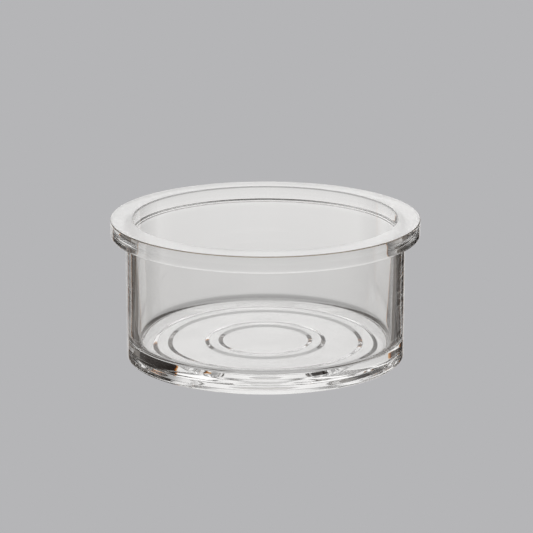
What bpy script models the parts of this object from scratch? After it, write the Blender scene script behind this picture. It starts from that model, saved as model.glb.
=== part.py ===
"""Flanged glass dish: a small round bench dish, pressed in one piece from clear glass.

Units are metres and +Z is up. The origin is on the table, under the middle of the base.
"""

import math

import bpy

MM = 0.001

# Main sizes
WALL_RADIUS = 30.0 * MM            # outside of the straight wall
MOUTH_RADIUS = 28.3 * MM           # inside of the wall at the top
WALL_DRAFT = math.radians(1.75)    # the inside narrows downwards, as the press's plunger needs
FLOOR_THICKNESS = 3.9 * MM
HEIGHT = 30.6 * MM                 # table to the top of the rim
RIM_RADIUS = 33.2 * MM             # outside of the flange
RIM_THICKNESS = 3.7 * MM

# Rounds, from the middle of the floor outwards and down to the table
FLOOR_FILLET = 1.3 * MM            # inside, between the floor and the wall
LIP_ROUND = 0.35 * MM              # inner edge of the rim
RIM_TOP_ROUND = 0.25 * MM          # outer edge of the ground rim face
RIM_LOWER_ROUND = 0.5 * MM
RIM_ROOT_FILLET = 0.4 * MM         # under the flange, where it meets the wall
FOOT_ROUND = 0.75 * MM             # outer edge of the base

# Two shallow rings pressed into the underside: inner and outer radius of each at the table
UNDERSIDE_RINGS = ((9.3 * MM, 13.1 * MM), (20.25 * MM, 24.4 * MM))
RING_DEPTH = 0.7 * MM
RING_FLANK = 0.9 * MM              # width of a ring's sloping side, seen from below
RING_ROUND = 0.3 * MM

# Fineness of the turned surface
TURN_STEPS = 64
ARC_STEP = math.radians(22.5)
FEWEST_ARC_STEPS = 2
WELD_DISTANCE = 0.01 * MM

# Clear soda-lime glass
GLASS_COLOUR = (0.93, 0.93, 0.92, 1.0)
GLASS_IOR = 1.5
GLASS_ROUGHNESS = 0.03


def round_corner(before, corner, after, radius):
    """Return the points of an arc of this radius that replaces a corner between two straight runs."""
    to_before = math.atan2(before[1] - corner[1], before[0] - corner[0])
    to_after = math.atan2(after[1] - corner[1], after[0] - corner[0])
    opening = (to_after - to_before + math.pi) % (2 * math.pi) - math.pi
    bisector = to_before + opening / 2
    half = abs(opening) / 2
    centre_distance = radius / math.sin(half)
    centre = (corner[0] + centre_distance * math.cos(bisector),
              corner[1] + centre_distance * math.sin(bisector))
    sweep = math.pi - abs(opening)
    steps = max(FEWEST_ARC_STEPS, round(sweep / ARC_STEP))
    turn = -math.copysign(sweep, opening)
    middle = bisector + math.pi
    points = []
    for step in range(steps + 1):
        angle = middle + turn * (step / steps - 0.5)
        points.append((centre[0] + radius * math.cos(angle), centre[1] + radius * math.sin(angle)))
    return points


def underside_ring(inner, outer):
    """Return the corners of one pressed ring, from its outer edge to its inner edge."""
    return [
        (outer, 0.0, RING_ROUND),
        (outer - RING_FLANK, RING_DEPTH, RING_ROUND),
        (inner + RING_FLANK, RING_DEPTH, RING_ROUND),
        (inner, 0.0, RING_ROUND),
    ]


def dish_section():
    """Return the half section as (radius, height) points, from mid floor round to mid underside."""
    floor_radius = MOUTH_RADIUS - (HEIGHT - FLOOR_THICKNESS) * math.tan(WALL_DRAFT)
    rim_underside = HEIGHT - RIM_THICKNESS
    corners = [
        (0.0, FLOOR_THICKNESS, 0.0),
        (floor_radius, FLOOR_THICKNESS, FLOOR_FILLET),
        (MOUTH_RADIUS, HEIGHT, LIP_ROUND),
        (RIM_RADIUS, HEIGHT, RIM_TOP_ROUND),
        (RIM_RADIUS, rim_underside, RIM_LOWER_ROUND),
        (WALL_RADIUS, rim_underside, RIM_ROOT_FILLET),
        (WALL_RADIUS, 0.0, FOOT_ROUND),
    ]
    for inner, outer in reversed(UNDERSIDE_RINGS):
        corners += underside_ring(inner, outer)
    corners.append((0.0, 0.0, 0.0))

    points = [corners[0][:2]]
    for before, corner, after in zip(corners, corners[1:], corners[2:]):
        points += round_corner(before, corner, after, corner[2])
    points.append(corners[-1][:2])
    return points


def clear_glass():
    """Return the clear pressed glass that the dish is made of."""
    material = bpy.data.materials.new("clear_pressed_glass")
    material.use_nodes = True
    shader = material.node_tree.nodes["Principled BSDF"]
    shader.inputs["Base Color"].default_value = GLASS_COLOUR
    shader.inputs["Metallic"].default_value = 0.0
    shader.inputs["Roughness"].default_value = GLASS_ROUGHNESS
    shader.inputs["IOR"].default_value = GLASS_IOR
    shader.inputs["Transmission Weight"].default_value = 1.0
    return material


def turned_dish():
    """Make the dish by turning its section once round the Z axis."""
    points = dish_section()
    mesh = bpy.data.meshes.new("dish")
    mesh.from_pydata([(radius, 0.0, height) for radius, height in points],
                     [(index, index + 1) for index in range(len(points) - 1)],
                     [])
    mesh.materials.append(clear_glass())
    dish = bpy.data.objects.new("dish", mesh)
    bpy.context.scene.collection.objects.link(dish)

    turn = dish.modifiers.new("turn", "SCREW")
    turn.axis = "Z"
    turn.angle = 2 * math.pi
    turn.screw_offset = 0.0
    turn.steps = TURN_STEPS
    turn.render_steps = TURN_STEPS
    turn.use_merge_vertices = True
    turn.merge_threshold = WELD_DISTANCE
    turn.use_smooth_shade = True
    return dish


for leftover in list(bpy.data.objects):
    bpy.data.objects.remove(leftover, do_unlink=True)
turned_dish()
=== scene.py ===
import math

import bpy
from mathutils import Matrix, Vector


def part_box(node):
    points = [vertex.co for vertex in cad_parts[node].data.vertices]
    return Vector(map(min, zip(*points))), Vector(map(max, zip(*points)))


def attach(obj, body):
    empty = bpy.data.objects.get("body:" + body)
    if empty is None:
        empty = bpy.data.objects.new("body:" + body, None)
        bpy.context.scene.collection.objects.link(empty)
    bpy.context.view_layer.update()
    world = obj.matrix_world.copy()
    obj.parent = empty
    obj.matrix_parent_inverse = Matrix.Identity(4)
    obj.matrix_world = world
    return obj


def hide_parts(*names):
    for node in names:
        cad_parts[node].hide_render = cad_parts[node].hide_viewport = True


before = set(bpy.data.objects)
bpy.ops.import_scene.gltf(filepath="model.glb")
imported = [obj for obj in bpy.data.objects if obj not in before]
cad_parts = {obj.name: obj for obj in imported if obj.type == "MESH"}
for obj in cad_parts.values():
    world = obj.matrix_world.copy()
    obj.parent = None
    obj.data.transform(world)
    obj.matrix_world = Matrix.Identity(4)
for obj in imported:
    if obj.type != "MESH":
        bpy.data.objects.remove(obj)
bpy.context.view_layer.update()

# Glass dish
# The whole dish is one pressing of clear soda-lime glass: a thick flat base with two shallow rings in its
# underside, a straight wall, and a broad flange. Fire polishing rounded its edges, and then the top of the
# flange was ground flat.
MM = 0.001
dish_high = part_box("dish")[1]
RIM_RADIUS = dish_high.x
HEIGHT = dish_high.z
RIM_THICKNESS = 3.7 * MM
RIM_UNDERSIDE = HEIGHT - RIM_THICKNESS
WALL_RADIUS = 30.0 * MM
MOUTH_RADIUS = 28.3 * MM
WALL_DRAFT = math.radians(1.75)
FLOOR_TOP = 3.9 * MM
FLOOR_RADIUS = MOUTH_RADIUS - (HEIGHT - FLOOR_TOP) * math.tan(WALL_DRAFT)
FLOOR_FILLET = 1.3 * MM
LIP_ROUND = 0.35 * MM
RIM_TOP_ROUND = 0.25 * MM
RIM_LOWER_ROUND = 0.5 * MM
RIM_ROOT_FILLET = 0.4 * MM
FOOT_ROUND = 0.75 * MM

# Inner and outer radius of each ring at the table, from the outer ring inwards
UNDERSIDE_RINGS = ((20.25 * MM, 24.4 * MM), (9.3 * MM, 13.1 * MM))
RING_DEPTH = 0.7 * MM
RING_FLANK = 0.9 * MM
RING_ROUND = 0.3 * MM

# Fineness of the turned surface
ROUND_STEPS = 10
TURN_STEPS = 320
SECTION_STEP = 0.8 * MM
TURNING_CIRCLE = 1.0 * MM
WELD = 0.001 * MM

# Waviness of the pressing: full in the base, and gone at WAVE_TOP on the wall
WAVE_LENGTH = 7.0 * MM
WAVE_DEPTH = 0.05 * MM
WAVE_TOP = 3 * FLOOR_TOP

# Finishes: a face counts as ground where it lies less than GROUND_SKIN under the top of the rim
GLASS_IOR = 1.5
MOTTLE_DETAIL = 2.0
GROUND_SKIN = 0.02 * MM


def linear(hex_colour):
    """Turn an sRGB hex colour into a linear RGBA value."""
    shares = [int(hex_colour[place:place + 2], 16) / 255 for place in (1, 3, 5)]
    return tuple(s / 12.92 if s <= 0.04045 else ((s + 0.055) / 1.055) ** 2.4 for s in shares) + (1.0,)


def add_node(tree, kind, inputs=None, **settings):
    """Add a node with these settings, and set or link its inputs by name or place."""
    node = tree.nodes.new(kind)
    for name, value in settings.items():
        setattr(node, name, value)
    for place, value in (inputs or {}).items():
        if isinstance(value, bpy.types.NodeSocket):
            tree.links.new(value, node.inputs[place])
        else:
            node.inputs[place].default_value = value
    return node


def glass(name, patch, tones, roughness, transmission):
    """Return a glass whose tone and roughness wander between two values, in patches of this size."""
    material = bpy.data.materials.new(name)
    material.use_nodes = True
    tree = material.node_tree
    shader = tree.nodes["Principled BSDF"]
    spot = add_node(tree, "ShaderNodeTexCoord")
    noise = add_node(tree, "ShaderNodeTexNoise",
                     {"Vector": spot.outputs["Object"], "Scale": 1 / patch, "Detail": MOTTLE_DETAIL})
    # Places 6 and 7 of the Mix node are its two colours
    tone = add_node(tree, "ShaderNodeMix",
                    {0: noise.outputs[0], 6: linear(tones[0]), 7: linear(tones[1])}, data_type="RGBA")
    rough = add_node(tree, "ShaderNodeMapRange",
                     {"Value": noise.outputs[0], "To Min": roughness[0], "To Max": roughness[1]})
    tree.links.new(tone.outputs[2], shader.inputs["Base Color"])
    tree.links.new(rough.outputs[0], shader.inputs["Roughness"])
    shader.inputs["IOR"].default_value = GLASS_IOR
    shader.inputs["Transmission Weight"].default_value = transmission
    return material


def pressed_glass():
    """Clear soda-lime glass, pressed and fire polished: bright, nearly colourless, faintly smeared."""
    return glass("clear_pressed_glass", patch=12.0 * MM, tones=("#FFFFFF", "#FCFCFC"),
                 roughness=(0.0, 0.012), transmission=1.0)


def ground_glass():
    """The same glass where the rim was ground flat: a fine white matt skin, its grit drawn coarse to show."""
    return glass("ground_glass", patch=0.5 * MM, tones=("#FFFFFF", "#F6F6F6"),
                 roughness=(0.3, 0.4), transmission=0.7)


def edge_painted_shade():
    """The eased edge round the ground face: half matt, and tinted brown as painted shade for the dark line
    this rounded edge shows.
    """
    return glass("ground_glass_edge_painted_shade", patch=2.0 * MM, tones=("#DACBB8", "#BCA890"),
                 roughness=(0.05, 0.15), transmission=1.0)


def section_mesh():
    """Make the half section's corners with their rounds, from mid floor round to the middle underneath."""
    corners = [
        (0.0, FLOOR_TOP, 0.0),
        (FLOOR_RADIUS, FLOOR_TOP, FLOOR_FILLET),
        (MOUTH_RADIUS, HEIGHT, LIP_ROUND),
        (RIM_RADIUS, HEIGHT, RIM_TOP_ROUND),
        (RIM_RADIUS, RIM_UNDERSIDE, RIM_LOWER_ROUND),
        (WALL_RADIUS, RIM_UNDERSIDE, RIM_ROOT_FILLET),
        (WALL_RADIUS, 0.0, FOOT_ROUND),
    ]
    for inner, outer in UNDERSIDE_RINGS:
        corners += [
            (outer, 0.0, RING_ROUND),
            (outer - RING_FLANK, RING_DEPTH, RING_ROUND),
            (inner + RING_FLANK, RING_DEPTH, RING_ROUND),
            (inner, 0.0, RING_ROUND),
        ]
    corners.append((0.0, 0.0, 0.0))
    mesh = bpy.data.meshes.new("dish_section")
    mesh.from_pydata([(radius, 0.0, height) for radius, height, _ in corners],
                     [(place, place + 1) for place in range(len(corners) - 1)],
                     [])
    rounds = mesh.attributes.new("round", "FLOAT", "POINT")
    rounds.data.foreach_set("value", [corner[2] for corner in corners])
    return mesh


def turning_tree():
    """Build the nodes that round the section's corners, turn it about the Z axis and lay on its finishes."""
    tree = bpy.data.node_groups.new("turned_dish", "GeometryNodeTree")
    labels_by_kind = {
        "NodeSocketGeometry": ("Section",),
        "NodeSocketInt": ("Round Steps", "Turn Steps"),
        "NodeSocketFloat": ("Section Step", "Turning Circle", "Weld", "Wave Scale", "Wave Depth", "Wave Low",
                            "Wave High", "Ground Above", "Edge Above", "Edge Beyond"),
        "NodeSocketMaterial": ("Glass", "Ground Glass", "Painted Shade Edge"),
    }
    for kind, labels in labels_by_kind.items():
        for label in labels:
            tree.interface.new_socket(label, in_out="INPUT", socket_type=kind)
    tree.interface.new_socket("Dish", in_out="OUTPUT", socket_type="NodeSocketGeometry")
    given = add_node(tree, "NodeGroupInput").outputs
    place = add_node(tree, "GeometryNodeInputPosition").outputs[0]
    parts = add_node(tree, "ShaderNodeSeparateXYZ", {"Vector": place}).outputs

    # The outline, with its corners rounded and its straight runs cut into short steps
    outline = add_node(tree, "GeometryNodeMeshToCurve", {"Mesh": given["Section"]})
    rounds = add_node(tree, "GeometryNodeInputNamedAttribute", {"Name": "round"}, data_type="FLOAT")
    rounded = add_node(tree, "GeometryNodeFilletCurve",
                       {"Curve": outline.outputs[0], "Count": given["Round Steps"],
                        "Radius": rounds.outputs[0]},
                       mode="POLY")
    index = add_node(tree, "GeometryNodeInputIndex")
    following = add_node(tree, "ShaderNodeMath", {0: index.outputs[0], 1: 1.0}, operation="ADD")
    next_place = add_node(tree, "GeometryNodeFieldAtIndex", {"Value": place, "Index": following.outputs[0]},
                          data_type="FLOAT_VECTOR", domain="POINT")
    length = add_node(tree, "ShaderNodeVectorMath",
                      {0: place, 1: next_place.outputs[0]}, operation="DISTANCE")
    cuts = add_node(tree, "ShaderNodeMath",
                    {0: length.outputs["Value"], 1: given["Section Step"]}, operation="DIVIDE")
    divided = add_node(tree, "GeometryNodeSubdivideCurve",
                       {"Curve": rounded.outputs[0], "Cuts": cuts.outputs[0]})

    # The outline laid across a small circle and carried round it
    down = add_node(tree, "ShaderNodeMath", {0: parts["Z"], 1: -1.0}, operation="MULTIPLY")
    out = add_node(tree, "ShaderNodeMath", {0: parts["X"], 1: given["Turning Circle"]}, operation="SUBTRACT")
    across = add_node(tree, "ShaderNodeCombineXYZ", {"X": out.outputs[0], "Y": down.outputs[0]})
    laid = add_node(tree, "GeometryNodeSetPosition",
                    {"Geometry": divided.outputs[0], "Position": across.outputs[0]})
    circle = add_node(tree, "GeometryNodeCurvePrimitiveCircle",
                      {"Resolution": given["Turn Steps"], "Radius": given["Turning Circle"]}, mode="RADIUS")
    turned = add_node(tree, "GeometryNodeCurveToMesh",
                      {"Curve": circle.outputs[0], "Profile Curve": laid.outputs[0]})
    welded = add_node(tree, "GeometryNodeMergeByDistance",
                      {"Geometry": turned.outputs[0], "Distance": given["Weld"]}, mode="ALL")

    # Waviness that only takes glass away, so that the dish stays inside its size
    noise = add_node(tree, "ShaderNodeTexNoise",
                     {"Vector": place, "Scale": given["Wave Scale"], "Detail": 0.0})
    fading = add_node(tree, "ShaderNodeMapRange",
                      {"Value": parts["Z"], "From Min": given["Wave Low"], "From Max": given["Wave High"],
                       "To Min": 1.0, "To Max": 0.0},
                      interpolation_type="SMOOTHSTEP")
    dent = add_node(tree, "ShaderNodeMath", {0: noise.outputs[0], 1: 1.0}, operation="SUBTRACT")
    scaled = add_node(tree, "ShaderNodeMath",
                      {0: dent.outputs[0], 1: given["Wave Depth"]}, operation="MULTIPLY")
    faded = add_node(tree, "ShaderNodeMath",
                     {0: scaled.outputs[0], 1: fading.outputs[0]}, operation="MULTIPLY")
    facing = add_node(tree, "GeometryNodeInputNormal")
    shift = add_node(tree, "ShaderNodeVectorMath",
                     {0: facing.outputs[0], "Scale": faded.outputs[0]}, operation="SCALE")
    wavy = add_node(tree, "GeometryNodeSetPosition",
                    {"Geometry": welded.outputs[0], "Offset": shift.outputs[0]})
    smooth = add_node(tree, "GeometryNodeSetShadeSmooth",
                      {"Geometry": wavy.outputs[0], "Shade Smooth": True})
    real = add_node(tree, "GeometryNodeRealizeInstances", {"Geometry": smooth.outputs[0]})

    # Clear glass all over, then the eased edge of the rim with its painted brown shade, then its ground top
    glazed = add_node(tree, "GeometryNodeSetMaterial",
                      {"Geometry": real.outputs[0], "Material": given["Glass"]})
    flat_place = add_node(tree, "ShaderNodeVectorMath",
                          {0: place, 1: (1.0, 1.0, 0.0)}, operation="MULTIPLY")
    radius = add_node(tree, "ShaderNodeVectorMath", {0: flat_place.outputs[0]}, operation="LENGTH")
    high = add_node(tree, "ShaderNodeMath",
                    {0: parts["Z"], 1: given["Edge Above"]}, operation="GREATER_THAN")
    beyond = add_node(tree, "ShaderNodeMath",
                      {0: radius.outputs["Value"], 1: given["Edge Beyond"]}, operation="GREATER_THAN")
    on_edge = add_node(tree, "ShaderNodeMath",
                       {0: high.outputs[0], 1: beyond.outputs[0]}, operation="MULTIPLY")
    edge_shade_painted = add_node(tree, "GeometryNodeSetMaterial",
                     {"Geometry": glazed.outputs[0], "Selection": on_edge.outputs[0],
                      "Material": given["Painted Shade Edge"]})
    on_top = add_node(tree, "ShaderNodeMath",
                      {0: parts["Z"], 1: given["Ground Above"]}, operation="GREATER_THAN")
    ground = add_node(tree, "GeometryNodeSetMaterial",
                      {"Geometry": edge_shade_painted.outputs[0], "Selection": on_top.outputs[0],
                       "Material": given["Ground Glass"]})
    add_node(tree, "NodeGroupOutput", {"Dish": ground.outputs[0]})
    return tree


def plain_mesh(name, mesh, tree, values):
    """Run a mesh through a node tree with these input values, and return an object with the plain result."""
    piece = bpy.data.objects.new(name, mesh)
    bpy.context.scene.collection.objects.link(piece)
    modifier = piece.modifiers.new("nodes", "NODES")
    modifier.node_group = tree
    sockets = {item.name: item.identifier for item in tree.interface.items_tree if item.in_out == "INPUT"}
    for label, value in values.items():
        modifier[sockets[label]] = value
    evaluated = piece.evaluated_get(bpy.context.evaluated_depsgraph_get())
    result = bpy.data.meshes.new_from_object(evaluated)
    piece.modifiers.remove(modifier)
    piece.data = result
    result.name = name
    return piece


glass_dish = plain_mesh("glass_dish", section_mesh(), turning_tree(), {
    "Round Steps": ROUND_STEPS,
    "Turn Steps": TURN_STEPS,
    "Section Step": SECTION_STEP,
    "Turning Circle": TURNING_CIRCLE,
    "Weld": WELD,
    "Wave Scale": 1 / WAVE_LENGTH,
    "Wave Depth": WAVE_DEPTH,
    "Wave Low": FLOOR_TOP,
    "Wave High": WAVE_TOP,
    "Ground Above": HEIGHT - GROUND_SKIN,
    "Edge Above": HEIGHT - RIM_TOP_ROUND,
    "Edge Beyond": RIM_RADIUS - RIM_TOP_ROUND,
    "Glass": pressed_glass(),
    "Ground Glass": ground_glass(),
    # The rim's eased edge takes glass tinted brown: painted shade for its dark line
    "Painted Shade Edge": edge_painted_shade(),
})
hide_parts("dish")
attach(glass_dish, "root")

# Camera
# A long lens looks down a little, as in the photograph, and is aimed just over the middle of the dish.
# Lens and sensor are in millimetres, as Blender takes them.
CAMERA_DISTANCE = 587.2 * MM
CAMERA_ELEVATION = math.radians(15.08)
AIM = Vector((0.25 * MM, 0.0, 19.585 * MM))
LENS = 184.2
SENSOR_WIDTH = 36.0
FARTHEST_SEEN = 10.0
camera_data = bpy.data.cameras.new("camera")
camera_data.sensor_width = SENSOR_WIDTH
camera_data.lens = LENS
camera_data.clip_end = FARTHEST_SEEN
camera = bpy.data.objects.new("camera", camera_data)
bpy.context.scene.collection.objects.link(camera)
away = Vector((0.0, -math.cos(CAMERA_ELEVATION), math.sin(CAMERA_ELEVATION)))
camera.location = AIM + away * CAMERA_DISTANCE
camera.rotation_euler = (-away).to_track_quat("-Z", "Y").to_euler()
bpy.context.scene.camera = camera
bpy.context.view_layer.update()

# Studio
# A plain pale floor and backdrop stand in a soft surround, which the glass bends into its own tones. Dark
# flags with fading wings at both sides, and dark panels behind and above the camera, draw the glass's edges.
# They follow the camera, so other views are lit alike. One soft lamp overhead lights the ground rim.
BACKDROP = "#B5B5B7"
FLOOR_REACH = 3.0
FLOOR_DROP = 0.2 * MM
WING_LENGTH = 300.0 * MM
WING_HEIGHT = 160.0 * MM
SHEET_GAP = 0.2 * MM
SOFT_EDGE = "#6E6964"
FRINGE = ("#8C4A10", "#CB9C68")
REAR_GREY = "#45413E"
REAR_REACH = 400.0 * MM
REAR_Y = -350.0 * MM
REAR_LOW = -200.0 * MM
ROOF_HEIGHT = 330.0 * MM
ROOF_FRONT_Y = -15.0 * MM
OVERHEAD_WATTS = 8.5
OVERHEAD_SIZE = 600.0 * MM
OVERHEAD_HEIGHT = 800.0 * MM
GLASS_BOUNCES = 48

# Brightness of the surround at degrees above the horizon: table, pale wall, strip light, dark gap, ceiling
SURROUND_TINT = "#FFFEFD"
SURROUND = (
    (-90, 0.60), (-40, 0.40), (-25, 0.48),
    (-13, 0.84), (3, 0.78),
    (12, 1.12), (20, 1.12),
    (28, 0.36), (36, 0.42),
    (42, 0.86), (90, 1.00),
)


def set_marks(marks, stops):
    """Spread a ramp's marks in proportion to these stops, each a place and a linear colour."""
    first = stops[0][0]
    length = stops[-1][0] - first
    while len(marks) < len(stops):
        marks.new(1.0)
    for mark, (place, colour) in zip(marks, stops):
        mark.position = (place - first) / length
        mark.color = colour


def glow(name, hex_colour):
    """Return a stage material that shows one even tone."""
    material = bpy.data.materials.new(name)
    material.use_nodes = True
    tree = material.node_tree
    tree.nodes.clear()
    light = add_node(tree, "ShaderNodeEmission", {"Color": linear(hex_colour)}, name="light")
    add_node(tree, "ShaderNodeOutputMaterial", {"Surface": light.outputs[0]})
    return material


def fading_glow(name, stops):
    """Return a stage material whose tone fades along Y, from stops of a place and a tone."""
    material = glow(name, stops[0][1])
    tree = material.node_tree
    spot = add_node(tree, "ShaderNodeTexCoord")
    along = add_node(tree, "ShaderNodeSeparateXYZ", {"Vector": spot.outputs["Object"]})
    share = add_node(tree, "ShaderNodeMapRange",
                     {"Value": along.outputs["Y"], "From Min": stops[0][0], "From Max": stops[-1][0]})
    fade = add_node(tree, "ShaderNodeValToRGB", {0: share.outputs[0]})
    set_marks(fade.color_ramp.elements, [(place, linear(tone)) for place, tone in stops])
    tree.links.new(fade.outputs[0], tree.nodes["light"].inputs["Color"])
    return material


def panel(name, corners, material):
    """Make a flat panel of the studio."""
    mesh = bpy.data.meshes.new(name)
    mesh.from_pydata(corners, [], [tuple(range(len(corners)))])
    mesh.materials.append(material)
    piece = bpy.data.objects.new(name, mesh)
    bpy.context.scene.collection.objects.link(piece)
    return piece


def follow_camera(piece):
    """Hide a panel from the camera itself and let it go round with the camera."""
    piece.visible_camera = False
    piece.parent = camera
    piece.matrix_parent_inverse = camera.matrix_world.inverted()


def side_flag(side, x, soft_width, fringe_width, tone, wing_fade, near, far):
    """Stand a dark flag at one side, with a softer near edge, a warm fringe beyond it and a fading wing.

    All sizes are millimetres. Points are (y, z), up the flag's near edge and down its far edge.
    """
    near = [(y * MM, z * MM) for y, z in near]
    far = [(y * MM, z * MM) for y, z in far]
    inner = [(y + soft_width * MM, z) for y, z in near]
    wing = [(-WING_LENGTH, -WING_HEIGHT), (near[0][0], -WING_HEIGHT), *near,
            (near[-1][0], WING_HEIGHT), (-WING_LENGTH, WING_HEIGHT)]
    fade = [(place * MM, wing_tone) for place, wing_tone in wing_fade]
    sheets = [
        ("flag", [*inner, *far], glow(f"flag_{side}", tone)),
        ("soft", [*near, *reversed(inner)], glow(f"soft_{side}", SOFT_EDGE)),
        ("wing", wing, fading_glow(f"wing_{side}", fade)),
    ]
    for step, fringe_tone in enumerate(FRINGE):
        strip = [(y + step * fringe_width * MM, z) for y, z in far]
        strip += [(y + (step + 1) * fringe_width * MM, z) for y, z in reversed(far)]
        sheets.append((f"fringe_{step}", strip, glow(f"fringe_{step}_{side}", fringe_tone)))
    for depth, (kind, corners, material) in enumerate(sheets):
        sheet_x = x * MM + math.copysign(depth * SHEET_GAP, x)
        follow_camera(panel(f"{kind}_{side}", [(sheet_x, y, z) for y, z in corners], material))


floor = panel(
    "floor",
    [(-FLOOR_REACH, -FLOOR_REACH, -FLOOR_DROP), (FLOOR_REACH, -FLOOR_REACH, -FLOOR_DROP),
     (FLOOR_REACH, FLOOR_REACH, -FLOOR_DROP), (-FLOOR_REACH, FLOOR_REACH, -FLOOR_DROP)],
    glow("backdrop", BACKDROP),
)
floor.visible_transmission = False
floor.visible_glossy = False
floor.visible_diffuse = False
floor.visible_shadow = False

side_flag(
    "left", x=-65.0, soft_width=11.0, fringe_width=3.0, tone="#4A4541",
    wing_fade=((-120, "#3E3A37"), (-40, "#5E5B58"), (5, "#96938F"), (40, "#CBC9C7")),
    near=((-30, -60), (-30, -13), (35, -13), (20, 15), (-70, 62)),
    far=((40, 42), (100, -60)),
)
side_flag(
    "right", x=109.0, soft_width=32.0, fringe_width=6.0, tone="#1E1916",
    wing_fade=((-120, "#1A1715"), (-40, "#302C29"), (20, "#716D69"), (75, "#CBC9C7")),
    near=((65, -110), (70, -45), (85, -32), (20, 140)),
    far=((185, 150), (250, 40), (236, -110)),
)

rear_grey = glow("rear_grey", REAR_GREY)
rear = panel(
    "rear",
    [(-REAR_REACH, REAR_Y, REAR_LOW), (REAR_REACH, REAR_Y, REAR_LOW),
     (REAR_REACH, REAR_Y, ROOF_HEIGHT), (-REAR_REACH, REAR_Y, ROOF_HEIGHT)],
    rear_grey,
)
follow_camera(rear)
roof = panel(
    "roof",
    [(-REAR_REACH, REAR_Y, ROOF_HEIGHT), (REAR_REACH, REAR_Y, ROOF_HEIGHT),
     (REAR_REACH, ROOF_FRONT_Y, ROOF_HEIGHT), (-REAR_REACH, ROOF_FRONT_Y, ROOF_HEIGHT)],
    rear_grey,
)
roof.visible_shadow = False
follow_camera(roof)

lamp = bpy.data.lights.new("overhead", "AREA")
lamp.size = OVERHEAD_SIZE
lamp.energy = OVERHEAD_WATTS
overhead = bpy.data.objects.new("overhead", lamp)
overhead.location = (0.0, 0.0, OVERHEAD_HEIGHT)
overhead.visible_camera = False
overhead.visible_glossy = False
overhead.visible_transmission = False
bpy.context.scene.collection.objects.link(overhead)

# The camera itself sees the backdrop's tone, and the glass sees the surround
world = bpy.data.worlds.new("surround")
bpy.context.scene.world = world
world.use_nodes = True
tree = world.node_tree
tree.nodes.clear()
path = add_node(tree, "ShaderNodeLightPath")
seen = add_node(tree, "ShaderNodeBackground", {"Color": linear(BACKDROP)})
coords = add_node(tree, "ShaderNodeTexCoord")
ways = add_node(tree, "ShaderNodeSeparateXYZ", {"Vector": coords.outputs["Generated"]})
rise = add_node(tree, "ShaderNodeMath", {0: ways.outputs["Z"]}, operation="ARCSINE")
share = add_node(tree, "ShaderNodeMapRange",
                 {"Value": rise.outputs[0], "From Min": math.radians(SURROUND[0][0]),
                  "From Max": math.radians(SURROUND[-1][0])})
ramp = add_node(tree, "ShaderNodeValToRGB", {0: share.outputs[0]})
tint = linear(SURROUND_TINT)[:3]
brightest = max(level for _, level in SURROUND)
set_marks(ramp.color_ramp.elements,
          [(angle, [level / brightest * part for part in tint] + [1.0]) for angle, level in SURROUND])
bent = add_node(tree, "ShaderNodeBackground", {"Color": ramp.outputs[0], "Strength": brightest})
choice = add_node(tree, "ShaderNodeMixShader",
                  {0: path.outputs["Is Camera Ray"], 1: bent.outputs[0], 2: seen.outputs[0]})
add_node(tree, "ShaderNodeOutputWorld", {"Surface": choice.outputs[0]})

scene = bpy.context.scene
scene.view_settings.view_transform = "Standard"
scene.cycles.max_bounces = GLASS_BOUNCES
scene.cycles.glossy_bounces = GLASS_BOUNCES
scene.cycles.transmission_bounces = GLASS_BOUNCES
